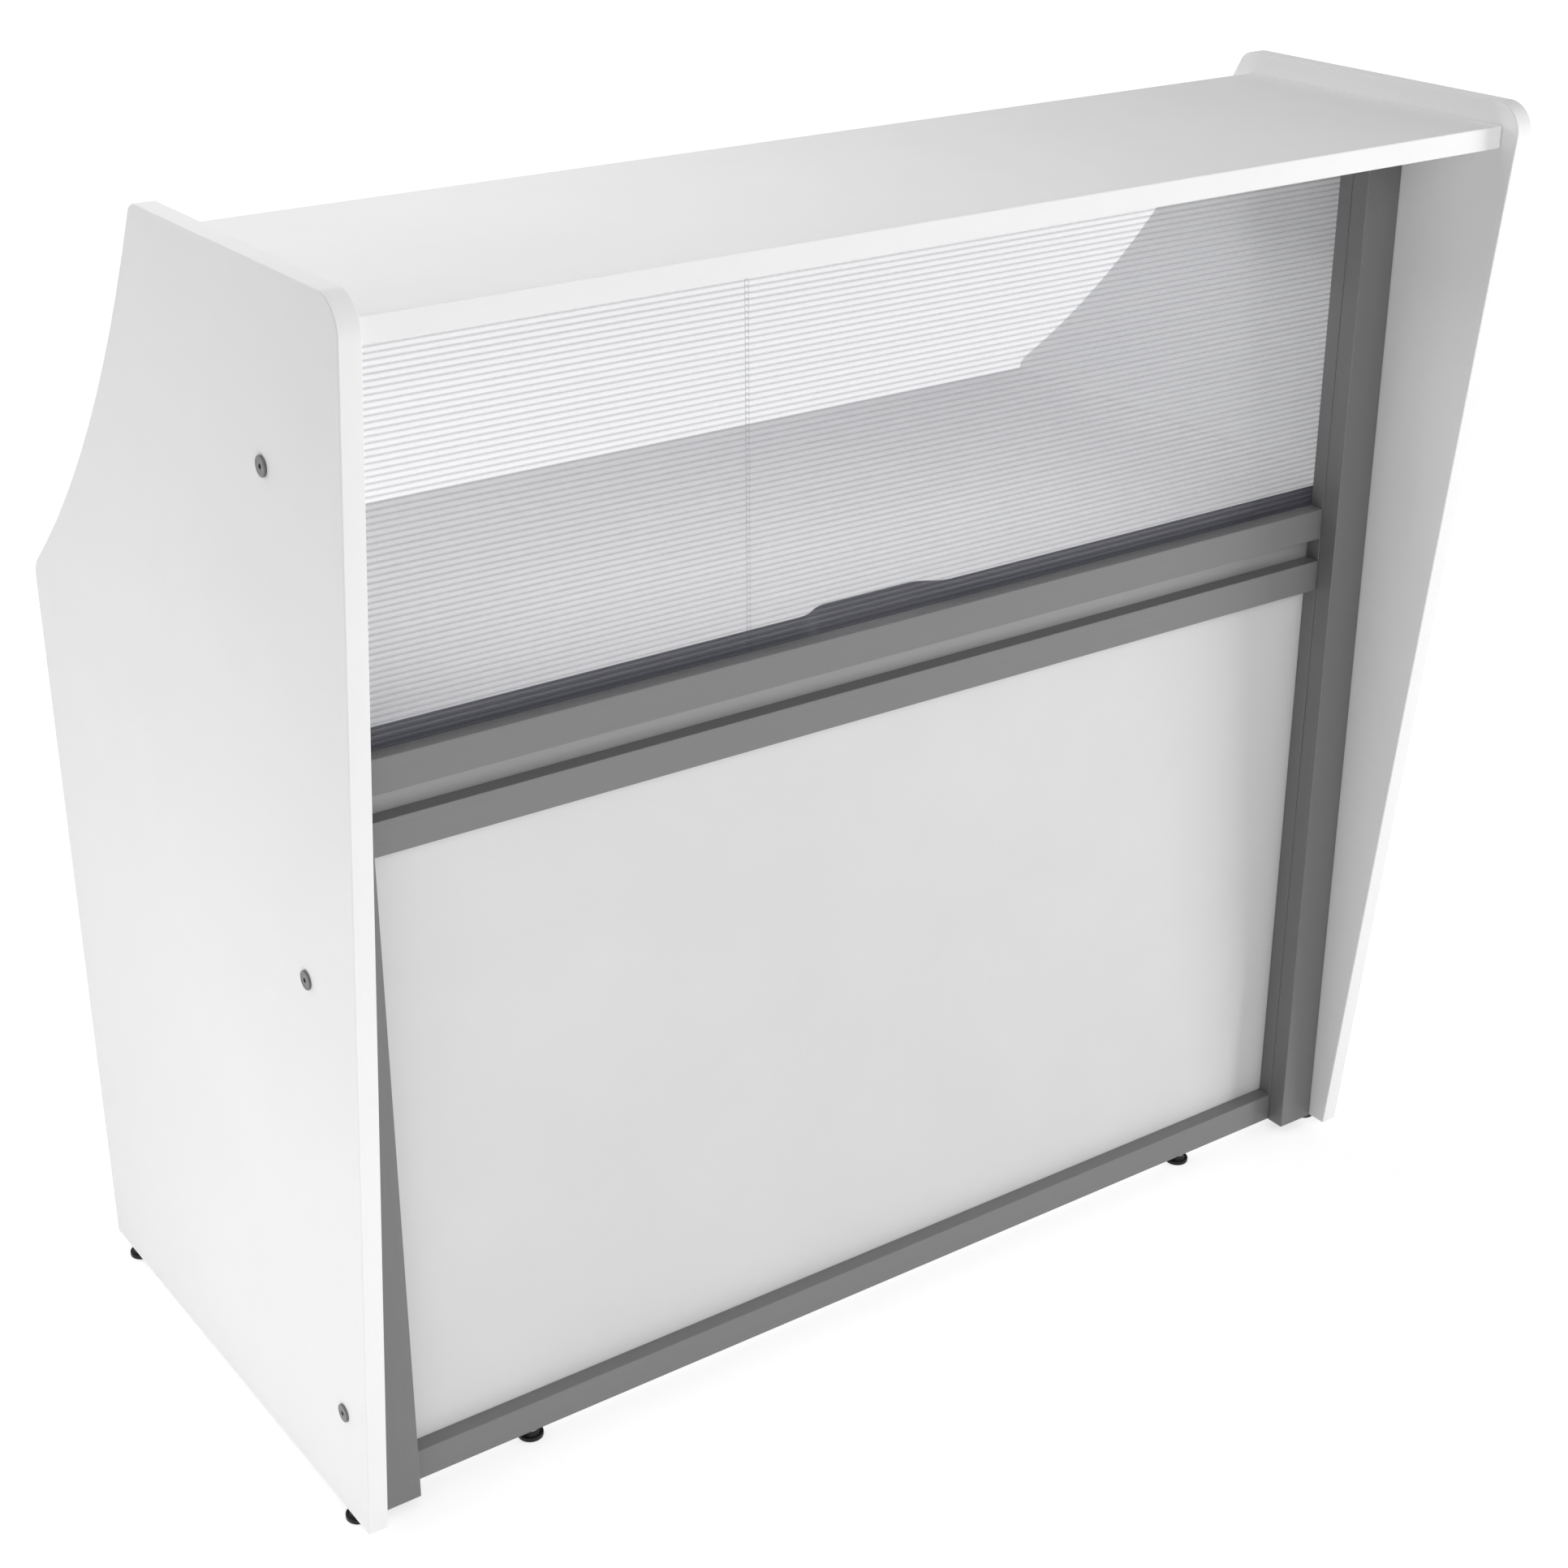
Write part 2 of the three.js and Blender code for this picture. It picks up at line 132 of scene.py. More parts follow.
# Drilled holes: closed before the edges are eased, and drilled again after
drilling = {
    "sides": 32,
    "reach": 1 * mm,  # a hole's faces lie this near its fitting, and its cut is this much longer
    "flatWithin": 0.5,  # degrees between faces that are joined when a hole is closed
    "holes": {  # radius, and the axis that the hole runs along
        "connector_bolt": (3.25 * mm, 0),
        "shelf_dowel": (4.25 * mm, 0),
        "panel_screw": (2 * mm, 0),
        "worktop_screw": (2 * mm, 2),
        "foot_insert": (5.75 * mm, 2),
    },
}


def holesOf(node):
    low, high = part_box(node)
    holes = []
    for kind, (radius, axis) in drilling["holes"].items():
        for fitting in frame["nodes"]:
            if fitting.startswith(kind):
                start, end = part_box(fitting)
                if all(start[i] < high[i] and end[i] > low[i] for i in range(3)):
                    holes.append((radius, axis, start, end))
    return holes


def closeHoles(piece, holes):
    reach = drilling["reach"]
    startEdit(piece)
    mesh = bmesh.from_edit_mesh(piece.data)
    for face in mesh.faces:
        for *_, start, end in holes:
            if all(start[i] - reach < corner.co[i] < end[i] + reach
                   for corner in face.verts for i in range(3)):
                face.select_set(True)
    bmesh.update_edit_mesh(piece.data)
    bpy.ops.mesh.delete(type="FACE")
    bpy.ops.mesh.select_all(action="SELECT")
    bpy.ops.mesh.fill_holes(sides=0)
    bpy.ops.mesh.normals_make_consistent(inside=False)
    bpy.ops.mesh.dissolve_limited(angle_limit=math.radians(drilling["flatWithin"]))
    endEdit()


def drillHoles(piece, holes):
    for radius, axis, start, end in holes:
        pickOnly(None)
        bpy.ops.mesh.primitive_cylinder_add(
            vertices=drilling["sides"], radius=radius,
            depth=end[axis] - start[axis] + drilling["reach"],
            location=(start + end) / 2, rotation=(0, math.radians(0 if axis == 2 else 90), 0))
        cutAway(piece, bpy.context.object)


# A copy of a node with its sharp edges rounded: all of them, or those along one axis
def easedCopy(node, name, radius, steps, axis=None):
    piece = copyOfNode(node, name)
    holes = holesOf(node)
    closeHoles(piece, holes)
    startEdit(piece, "EDGE")
    pickEdges(piece, axis)
    bpy.ops.mesh.bevel(offset=radius, segments=steps, affect="EDGES", clamp_overlap=False)
    endEdit()
    drillHoles(piece, holes)
    return piece


def smoothShade(piece, angle=40):
    pickOnly(piece)
    bpy.ops.object.shade_smooth_by_angle(angle=math.radians(angle))
    applyModifier(piece, "WEIGHTED_NORMAL", keep_sharp=True)


# Gives a further finish to the faces that pass the test
def paintFaces(piece, material, test):
    piece.data.materials.append(material)
    startEdit(piece)
    pickFaces(piece, test)
    piece.active_material_index = len(piece.data.materials) - 1
    bpy.ops.object.material_slot_assign()
    endEdit()


# The piece moves with its node's body and stands for it
def handOver(piece, node):
    pickOnly(None)
    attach(piece, bodyOf[node])
    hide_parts(node)


# A turned solid about +Z: a disc that is drawn up and in or out, one (radius, level) after another
def turnedPiece(name, profile, sides):
    radius, level = profile[0]
    pickOnly(None)
    bpy.ops.mesh.primitive_circle_add(vertices=sides, radius=radius, fill_type="NGON",
                                      location=(0, 0, level))
    piece = bpy.context.object
    piece.name = piece.data.name = name
    bpy.ops.object.transform_apply(location=True, rotation=True, scale=True)
    startEdit(piece)
    bpy.ops.mesh.select_all(action="SELECT")
    for nextRadius, nextLevel in profile[1:]:
        bpy.ops.mesh.extrude_region_move(
            TRANSFORM_OT_translate={"value": (0, 0, nextLevel - level)})
        scale = nextRadius / radius
        bpy.ops.transform.resize(value=(scale, scale, 1), center_override=(0, 0, nextLevel))
        radius, level = nextRadius, nextLevel
    bpy.ops.mesh.select_all(action="SELECT")
    bpy.ops.mesh.normals_make_consistent(inside=False)
    endEdit()
    return piece


# A thread's part of a profile, and the level where it stops.
# A turn of it is given as (radius, share of the pitch) one after another.
def threadRings(start, end, pitch, turn):
    rings = []
    level = start
    while level < end:
        rings += [(radius, level + share * pitch) for radius, share in turn]
        level += pitch
    return rings, level


# A copy with a mesh of its own, moved by a matrix that goes into the mesh
def placedCopy(model, name, matrix):
    piece = bpy.data.objects.new(name, model.data.copy())
    bpy.context.scene.collection.objects.link(piece)
    piece.data.name = name
    piece.data.transform(matrix)
    return piece


# Material building
def newFinish(name):
    material = bpy.data.materials.new(name)
    material.use_nodes = True
    return material, material.node_tree, material.node_tree.nodes["Principled BSDF"]


def addNode(tree, kind, place, **values):
    node = tree.nodes.new(kind)
    node.location = place
    for key, value in values.items():
        if key in node.inputs:
            node.inputs[key].default_value = value
        else:
            setattr(node, key, value)
    return node


# Object coordinates, stretched by a Mapping node
def objectCoords(tree, scale=(1, 1, 1)):
    coords = addNode(tree, "ShaderNodeTexCoord", (-1300, 0))
    mapping = addNode(tree, "ShaderNodeMapping", (-1100, 0), Scale=scale)
    tree.links.new(coords.outputs["Object"], mapping.inputs["Vector"])
    return mapping.outputs["Vector"]


def noiseOn(tree, vector, place, scale, detail, roughness=0.5):
    noise = addNode(tree, "ShaderNodeTexNoise", place,
                    Scale=scale, Detail=detail, Roughness=roughness)
    tree.links.new(vector, noise.inputs["Vector"])
    return noise.outputs[0]


def remap(tree, value, place, low, high, fromLow=0.3, fromHigh=0.7):
    node = addNode(tree, "ShaderNodeMapRange", place)
    for index, number in enumerate((fromLow, fromHigh, low, high), start=1):
        node.inputs[index].default_value = number
    tree.links.new(value, node.inputs[0])
    return node.outputs[0]


def colourBetween(tree, value, place, dark, light, fromLow=0.3, fromHigh=0.7):
    ramp = addNode(tree, "ShaderNodeValToRGB", place)
    ramp.color_ramp.elements[0].position = fromLow
    ramp.color_ramp.elements[0].color = (*dark, 1)
    ramp.color_ramp.elements[1].position = fromHigh
    ramp.color_ramp.elements[1].color = (*light, 1)
    tree.links.new(value, ramp.inputs["Fac"])
    return ramp.outputs["Color"]


def bumpFrom(tree, height, shader, strength, depth):
    bump = addNode(tree, "ShaderNodeBump", (-300, -400), Strength=strength, Distance=depth)
    tree.links.new(height, bump.inputs["Height"])
    tree.links.new(bump.outputs["Normal"], shader.inputs["Normal"])


def mathOn(tree, operation, place, first, second=0):
    node = addNode(tree, "ShaderNodeMath", place, operation=operation)
    for index, value in enumerate((first, second)):
        if isinstance(value, (int, float)):
            node.inputs[index].default_value = value
        else:
            tree.links.new(value, node.inputs[index])
    return node.outputs[0]


# What a look has unless it says otherwise
plainLook = {"stretch": (1, 1, 1), "metal": 0, "reflection": 0.5}


# A finish made of noises: colour, sheen and bump are each driven by one of the look's noises,
# which are given as scale, detail and, for some, roughness
def noiseFinish(name, ownLook, colourBy, sheenBy, bumpBy):
    look = {**plainLook, **ownLook}
    material, tree, shader = newFinish(name)
    vector = objectCoords(tree, look["stretch"])
    noises = {kind: noiseOn(tree, vector, (-800, 250 - 300 * row), *look[kind])
              for row, kind in enumerate(dict.fromkeys((colourBy, sheenBy, bumpBy)))}
    shade = colourBetween(tree, noises[colourBy], (-500, 250), look["dark"], look["light"])
    rough = remap(tree, noises[sheenBy], (-500, -50), *look["sheen"])
    tree.links.new(shade, shader.inputs["Base Color"])
    tree.links.new(rough, shader.inputs["Roughness"])
    shader.inputs["Metallic"].default_value = look["metal"]
    shader.inputs["Specular IOR Level"].default_value = look["reflection"]
    bumpFrom(tree, noises[bumpBy], shader, look["bump"], look["depth"])
    return material


# White melamine: a pearl of fine pimples, a faint cloudiness and uneven sheen
boardLook = {
    "dark": (0.84, 0.84, 0.838),
    "light": (0.856, 0.856, 0.854),
    "cloud": (6, 4),  # scale and detail, as in the looks below
    "smear": (38, 3),
    "pearl": (1300, 3),
    "sheen": (0.42, 0.5),
    "reflection": 0.3,
    "bump": 0.5,
    "depth": 0.03 * mm,
}
melamine = noiseFinish("whiteMelamine", boardLook,
                       colourBy="cloud", sheenBy="smear", bumpBy="pearl")

# Edge band: the same white, smoother, with a faint ripple
bandLook = {
    "dark": (0.842, 0.842, 0.84),
    "light": (0.858, 0.858, 0.856),
    "cloud": (14, 3),
    "ripple": (420, 2),
    "sheen": (0.34, 0.42),
    "reflection": 0.3,
    "bump": 0.3,
    "depth": 0.02 * mm,
}
edgeBand = noiseFinish("whiteEdgeBand", bandLook,
                       colourBy="cloud", sheenBy="cloud", bumpBy="ripple")

# Worktop front edge in the dark gap behind the window: painted shade, a near-black colour that
# stands for the shade in that gap
paintedShadeLook = {
    "dark": (0.1, 0.104, 0.068),
    "light": (0.11, 0.114, 0.077),
    "cloud": (30, 4),
    "ripple": (500, 2),
    "sheen": (0.45, 0.6),
    "bump": 0.1,
    "depth": 0.02 * mm,
}
paintedShadeBand = noiseFinish("paintedShadeEdgeBand", paintedShadeLook,
                       colourBy="cloud", sheenBy="cloud", bumpBy="ripple")

# Satin anodised aluminium with a brushed grain along the section; the rails' and the infill strip's
# copies are made lighter, which is painted light
aluminiumLook = {
    "dark": (0.186, 0.186, 0.188),
    "light": (0.2, 0.2, 0.202),
    # painted light: the rails are lighter than the uprights, standing for a brighter reflection on
    # them
    "railPaintedLight": 1.1,
    # painted light: the strip, recessed behind the rails, is lightened to undo the shade it sits in
    "stripPaintedLight": 1.95,
    "grainFine": 900,
    "grainLong": 5,
    "grain": (1, 3, 0.6),
    "sheen": (0.4, 0.52),
    "metal": 0.25,
    "reflection": 0.25,
    "bump": 0.25,
    "depth": 0.01 * mm,
}


# the factor given last lightens a copy of the aluminium, as painted light
def satinAluminium(name, along, paintedLight=1.0):
    stretch = [aluminiumLook["grainFine"]] * 3
    stretch["xyz".index(along)] = aluminiumLook["grainLong"]
    look = {**aluminiumLook, "stretch": stretch}
    for shade in ("dark", "light"):
        look[shade] = [paintedLight * part for part in aluminiumLook[shade]]
    return noiseFinish(name, look, colourBy="grain", sheenBy="grain", bumpBy="grain")


aluminiumX = satinAluminium("satinAluminiumLevel", "x", aluminiumLook["railPaintedLight"])
aluminiumZ = satinAluminium("satinAluminiumUpright", "z")
aluminiumStrip = satinAluminium("satinAluminiumStrip", "x", aluminiumLook["stripPaintedLight"])

# Frosted white sheet: a soft etched grain
frostLook = {
    "dark": (0.672, 0.672, 0.674),
    "light": (0.69, 0.69, 0.692),
    "cloud": (9, 5),
    "etch": (2200, 2),
    "sheen": (0.5, 0.62),
    "reflection": 0.3,
    "bump": 0.4,
    "depth": 0.02 * mm,
}
frost = noiseFinish("frostedSheet", frostLook,
                    colourBy="cloud", sheenBy="etch", bumpBy="etch")

# Clear fluted sheet: a thin lilac-grey veil, partly haze and partly a painted reflection of the
# studio in its tint, with a denser line where each rib meets the front skin
windowLook = {
    # painted reflection: the veil's bluish tint stands for the studio reflected in the sheet
    "veilAndReflection": (0.278, 0.281, 0.365),
    "lineColour": (0.2, 0.2, 0.23),
    "ribColour": (0.08, 0.08, 0.1),
    "skinCover": 0.24,
    "backCover": 0.02,
    "lineCover": 0.26,
    "ribCover": 0.012,
    "endCover": 0.42,
    "sheen": 0.12,
    "flutes": 71,
    "lineWidth": 0.4,  # share of a flute
    "lineFade": (0.35, 1.4),  # from full to none, in halves of a line
    "streak": 0.06,  # share that the cover varies by
    "streakStretch": (3, 60, 240),
    "streakNoise": (1, 3),
    "streakShade": 0.94,
}


# 1 on the line where each rib meets the skin, and 0 between the lines
def fluteLines(tree):
    low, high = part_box("window_left")
    pitch = (high.z - low.z) / windowLook["flutes"]
    coords = addNode(tree, "ShaderNodeTexCoord", (-1700, -500))
    height = addNode(tree, "ShaderNodeSeparateXYZ", (-1500, -500))
    tree.links.new(coords.outputs["Object"], height.inputs["Vector"])
    level = mathOn(tree, "SUBTRACT", (-1300, -500), height.outputs["Z"], low.z - pitch / 2)
    flute = mathOn(tree, "DIVIDE", (-1100, -500), level, pitch)
    share = mathOn(tree, "FRACT", (-900, -500), flute)
    offCentre = mathOn(tree, "SUBTRACT", (-700, -500), share, 0.5)
    away = mathOn(tree, "ABSOLUTE", (-500, -500), offCentre)
    fade = [part * windowLook["lineWidth"] / 2 for part in windowLook["lineFade"]]
    return remap(tree, away, (-300, -500), 1, 0, *fade)


def clearSheetFinish(name, cover, colour, lined=False):
    material, tree, shader = newFinish(name)
    shader.inputs["Roughness"].default_value = windowLook["sheen"]
    vector = objectCoords(tree, windowLook["streakStretch"])
    streak = noiseOn(tree, vector, (-800, 250), *windowLook["streakNoise"])
    haze = remap(tree, streak, (-500, 250), cover * (1 - windowLook["streak"]),
                 cover * (1 + windowLook["streak"]))
    if lined:
        line = fluteLines(tree)
        mix = addNode(tree, "ShaderNodeMix", (-100, 400), data_type="RGBA")
        mix.inputs[6].default_value = (*colour, 1)
        mix.inputs[7].default_value = (*windowLook["lineColour"], 1)
        tree.links.new(line, mix.inputs[0])
        shade = mix.outputs[2]
        dense = mathOn(tree, "MULTIPLY", (-100, -200), line, windowLook["lineCover"])
        haze = mathOn(tree, "ADD", (100, -200), haze, dense)
    else:
        darker = [windowLook["streakShade"] * part for part in colour]
        shade = colourBetween(tree, streak, (-500, 500), darker, colour)
    tree.links.new(shade, shader.inputs["Base Color"])
    tree.links.new(haze, shader.inputs["Alpha"])
    return material


skinFront = clearSheetFinish("clearSkinFront", windowLook["skinCover"], windowLook["veilAndReflection"],
                             lined=True)
skinBack = clearSheetFinish("clearSkinBack", windowLook["backCover"], windowLook["veilAndReflection"])
ribClear = clearSheetFinish("clearRib", windowLook["ribCover"], windowLook["ribColour"])
cutEnd = clearSheetFinish("clearCutEnd", windowLook["endCover"], windowLook["ribColour"])

# Bolts: dull nickel
nickelLook = {
    "dark": (0.13, 0.132, 0.136),
    "light": (0.2, 0.202, 0.206),
    "cloud": (420, 4),
    "fine": (3200, 2),
    "sheen": (0.32, 0.46),
    "metal": 0.6,
    "bump": 0.2,
    "depth": 0.01 * mm,
}
nickel = noiseFinish("dullNickel", nickelLook,
                     colourBy="cloud", sheenBy="fine", bumpBy="fine")

# Angles, screws and inserts: zinc plate with a spangle
zincLook = {
    "dark": (0.48, 0.49, 0.5),
    "light": (0.62, 0.63, 0.64),
    "spangle": 260,
    "spangleReach": 0.8,
    "fine": (1800, 3),
    "sheen": (0.28, 0.5),
    "bump": 0.2,
    "depth": 0.01 * mm,
}


def zincPlate():
    material, tree, shader = newFinish("zincPlate")
    vector = objectCoords(tree)
    spangle = addNode(tree, "ShaderNodeTexVoronoi", (-800, 250), Scale=zincLook["spangle"])
    tree.links.new(vector, spangle.inputs["Vector"])
    share = remap(tree, spangle.outputs["Distance"], (-650, 250), 0, 1,
                  0, zincLook["spangleReach"])
    shade = colourBetween(tree, share, (-500, 250), zincLook["dark"], zincLook["light"], 0, 1)
    fine = noiseOn(tree, vector, (-800, -350), *zincLook["fine"])
    rough = remap(tree, fine, (-500, -50), *zincLook["sheen"])
    tree.links.new(shade, shader.inputs["Base Color"])
    tree.links.new(rough, shader.inputs["Roughness"])
    shader.inputs["Metallic"].default_value = 1
    bumpFrom(tree, fine, shader, zincLook["bump"], zincLook["depth"])
    return material


zinc = zincPlate()

# Feet: black moulded plastic
plasticLook = {
    "dark": (0.006, 0.006, 0.007),
    "light": (0.012, 0.012, 0.013),
    "cloud": (300, 3),
    "fine": (3000, 3),
    "sheen": (0.3, 0.45),
    "reflection": 0.25,
    "bump": 0.35,
    "depth": 0.03 * mm,
}
blackPlastic = noiseFinish("mouldedBlack", plasticLook,
                           colourBy="cloud", sheenBy="cloud", bumpBy="fine")

# Dowels: plain beech, with its grain along the dowel
beechLook = {
    "dark": (0.47, 0.28, 0.13),
    "light": (0.66, 0.45, 0.25),
    "stretch": (25, 900, 900),
    "grain": (1, 4, 0.6),
    "sheen": (0.6, 0.78),
    "bump": 0.4,
    "depth": 0.05 * mm,
}
beech = noiseFinish("plainBeech", beechLook,
                    colourBy="grain", sheenBy="grain", bumpBy="grain")
print("finishes mixed:", len(bpy.data.materials))

# Boards: copies of the nodes with rounded edges and banded rims
boards = {
    "edgeRadius": 1.1 * mm,
    "edgeSteps": 3,
    "rimTilt": 0.6,  # a face that looks less than this along the thickness is rim
    "paintedShadeReach": 20 * mm,  # painted shade: the worktop's front edge is coloured dark this far back, so in its notch too
    "paintedShadeTilt": -0.5,  # and only on faces that look further to the front than this
    "thicknessAxis": {
        "side_panel_left": 0, "side_panel_right": 0, "transaction_shelf": 2, "worktop": 2},
}


def makeBoard(node, axis):
    piece = easedCopy(node, node + "_board", boards["edgeRadius"], boards["edgeSteps"])
    piece.data.materials.append(melamine)
    paintFaces(piece, edgeBand, lambda middle, normal: abs(normal[axis]) < boards["rimTilt"])
    return piece


# Painted shade: the front-facing faces near the worktop's front edge get the near-black finish
def paintShadeOnFront(piece):
    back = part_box("worktop")[0].y + boards["paintedShadeReach"]
    paintFaces(piece, paintedShadeBand,
               lambda middle, normal: normal.y < boards["paintedShadeTilt"] and middle.y < back)


for node, axis in boards["thicknessAxis"].items():
    board = makeBoard(node, axis)
    if node == "worktop":
        paintShadeOnFront(board)
    smoothShade(board)
    handOver(board, node)
print("boards done")

# Aluminium sections: long edges eased, cut ends left square
sections = {
    "edgeSteps": 3,
    "postRadius": 1.1 * mm,
    "railRadius": 0.8 * mm,
    "beadRadius": 0.5 * mm,
}


def makeSection(node, axis, finish, radius):
    piece = easedCopy(node, node + "_section", radius, sections["edgeSteps"], axis)
    piece.data.materials.append(finish)
    smoothShade(piece)
    handOver(piece, node)


for sideName in sideNames:
    makeSection("front_post_" + sideName, 2, aluminiumZ, sections["postRadius"])
    makeSection("frame_stile_" + sideName, 2, aluminiumZ, sections["postRadius"])
    makeSection("glazing_bead_" + sideName, 2, aluminiumZ, sections["beadRadius"])
for node in ("top_rail", "sill_rail", "lower_rail", "bottom_rail"):
    makeSection(node, 0, aluminiumX, sections["railRadius"])
makeSection("infill_strip", 0, aluminiumStrip, sections["beadRadius"])
print("aluminium front done")

# Sheets
sheets = {
    "edgeRadius": 0.4 * mm,
    "edgeSteps": 2,
    "skinReach": 0.1 * mm,  # how near a face lies to the sheet's own front or back
    "endTilt": 0.9,  # a face that looks further than this along the desk is a cut end
}


def makeLowerPanel():
    panel = easedCopy("lower_panel", "lower_panel_sheet", sheets["edgeRadius"], sheets["edgeSteps"])
    panel.data.materials.append(frost)
    smoothShade(panel)
    handOver(panel, "lower_panel")


def makeWindow(node):
    low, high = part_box(node)
    front, back = low.y + sheets["skinReach"], high.y - sheets["skinReach"]
    pane = copyOfNode(node, node + "_sheet")
    pane.data.materials.append(ribClear)
    paintFaces(pane, skinFront, lambda middle, normal: middle.y < front)
    paintFaces(pane, skinBack, lambda middle, normal: middle.y > back)
    paintFaces(pane, cutEnd, lambda middle, normal: abs(normal.x) > sheets["endTilt"])
    handOver(pane, node)


makeLowerPanel()
for sideName in sideNames:
    makeWindow("window_" + sideName)
print("sheets done")

# Connector bolts: a flat head with an eased rim, a ring step and a hex socket, on a plain shank
boltShape = {
    "sides": 48,
    "headThickness": 2 * mm,
    "rimEase": 0.6 * mm,
    "rimShare": 0.3,  # of the ease, at the middle of the rim
    "ringStep": 0.15 * mm,
    "ringRadius": 6.2 * mm,
    "ringSlope": 0.2 * mm,
    "crownShare": 1.6,  # the head is drawn from a disc this many times the socket's radius
    "shankRadius": 3 * mm,
    "tipLength": 1 * mm,
    "tipTaper": 0.8 * mm,
    "socketSides": 6,
    "socketRadius": 2.4 * mm,
    "socketDepth": 2.4 * mm,
    "smoothAngle": 30,
}


def modelBolt():
    low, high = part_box("connector_bolt_left_lower")
    length = high.x - low.x
    head, shank = (high.z - low.z) / 2, boltShape["shankRadius"]
    ring, step = boltShape["ringRadius"], boltShape["ringStep"]
    ease, share = boltShape["rimEase"], boltShape["rimShare"]
    profile = [
        (boltShape["socketRadius"] * boltShape["crownShare"], step),
        (ring - boltShape["ringSlope"], step),
        (ring, 0),
        (head - ease, 0),
        (head - share * ease, share * ease),
        (head, ease),
        (head, boltShape["headThickness"]),
        (shank, boltShape["headThickness"]),
        (shank, length - boltShape["tipLength"]),
        (shank - boltShape["tipTaper"], length),
    ]
    bolt = turnedPiece("boltModel", profile, boltShape["sides"])
    pickOnly(None)
    bpy.ops.mesh.primitive_cylinder_add(
        vertices=boltShape["socketSides"], radius=boltShape["socketRadius"],
        depth=2 * boltShape["socketDepth"])
    cutAway(bolt, bpy.context.object)
    bolt.data.materials.append(nickel)
    return bolt


boltModel = modelBolt()
for sideName in sideNames:
    turn = 90 if sideName == "left" else -90  # shank points to the middle of the desk
    for levelName in ("lower", "middle", "upper"):
        node = f"connector_bolt_{sideName}_{levelName}"
        low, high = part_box(node)
        head = (low + high) / 2
        head.x = low.x if sideName == "left" else high.x
        bolt = placedCopy(boltModel, node + "_turned", Matrix.Translation(head)
                          @ Matrix.Rotation(math.radians(turn), 4, "Y"))
        smoothShade(bolt, boltShape["smoothAngle"])
        handOver(bolt, node)
bpy.data.objects.remove(boltModel)
print("bolts done")

# Levelling feet: pad with a rounded rim and a groove, waisted neck, threaded stem
footShape = {
    "sides": 64,
    "padRadius": 12.5 * mm,
    "padHeight": 4.5 * mm,
    "rim": 0.8 * mm,
    "rimSteps": 4,
    "grooveOuter": 10.4 * mm,
    "grooveInner": 9.4 * mm,
    "grooveSlope": 0.2 * mm,
    "grooveDepth": 0.3 * mm,
    "neckFoot": 9 * mm,
    "neckRadius": 7 * mm,
    "neckTop": 8.5 * mm,
    "neckSteps": 6,
    "neckEase": (0.3 * mm, 0.4 * mm),  # inwards and downwards
    "stemRadius": 4 * mm,
    "stemEase": (1.2 * mm, 0.4 * mm),
    "threadDepth": 0.55 * mm,
    "threadPitch": 1.25 * mm,
    "threadCrest": (0.45, 0.55),  # share of the pitch
    "smoothAngle": 35,
}


def quarterTurn(step, steps):
    angle = math.radians(90 * step / steps)
    return math.sin(angle), math.cos(angle)


def padProfile():
    pad, rim, top = footShape["padRadius"], footShape["rim"], footShape["padHeight"]
    steps = footShape["rimSteps"]
    profile = [(pad - rim, 0)]
    for step in range(1, steps + 1):  # lower rim
        out, down = quarterTurn(step, steps)
        profile.append((pad - rim + rim * out, rim - rim * down))
    for step in range(steps + 1):  # upper rim
        up, out = quarterTurn(step, steps)
        profile.append((pad - rim + rim * out, top - rim + rim * up))
    outer, inner = footShape["grooveOuter"], footShape["grooveInner"]
    slope, floor = footShape["grooveSlope"], top - footShape["grooveDepth"]
    return profile + [(outer, top), (outer - slope, floor), (inner + slope, floor), (inner, top)]


def neckProfile():
    foot, neck, top = footShape["neckFoot"], footShape["neckRadius"], footShape["neckTop"]
    start, steps = footShape["padHeight"], footShape["neckSteps"]
    easeIn, easeDown = footShape["neckEase"]
    profile = []
    for step in range(steps + 1):
        waist, _ = quarterTurn(step, steps)
        profile.append((foot - (foot - neck) * waist,
                        start + (top - easeDown - start) * step / steps))
    return profile + [(neck - easeIn, top)]


def stemProfile(end):
    start, pitch = footShape["neckTop"], footShape["threadPitch"]
    crest = footShape["stemRadius"]
    root = crest - footShape["threadDepth"]
    easeIn, easeDown = footShape["stemEase"]
    turn = [(root, 0)] + [(crest, share) for share in footShape["threadCrest"]]
    rings, level = threadRings(start + pitch / 2, end - pitch, pitch, turn)
    return [(root, start)] + rings + [
        (root, level), (root, end - easeDown), (crest - easeIn, end)]


def modelFoot():
    _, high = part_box("levelling_foot_left_rail")
    profile = padProfile() + neckProfile() + stemProfile(high.z)
    foot = turnedPiece("footModel", profile, footShape["sides"])
    foot.data.materials.append(blackPlastic)
    return foot


footModel = modelFoot()
footPlaces = [f"{sideName}_{place}" for sideName in sideNames
              for place in ("front", "back", "rail")]
for place in footPlaces:
    node = "levelling_foot_" + place
    low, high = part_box(node)
    seat = (low + high) / 2
    seat.z = low.z
    foot = placedCopy(footModel, node + "_turned", Matrix.Translation(seat))
    smoothShade(foot, footShape["smoothAngle"])
    handOver(foot, node)
    frame["nodes"]["foot_insert_" + place].material_slots[0].material = zinc
bpy.data.objects.remove(footModel)
print("feet done")

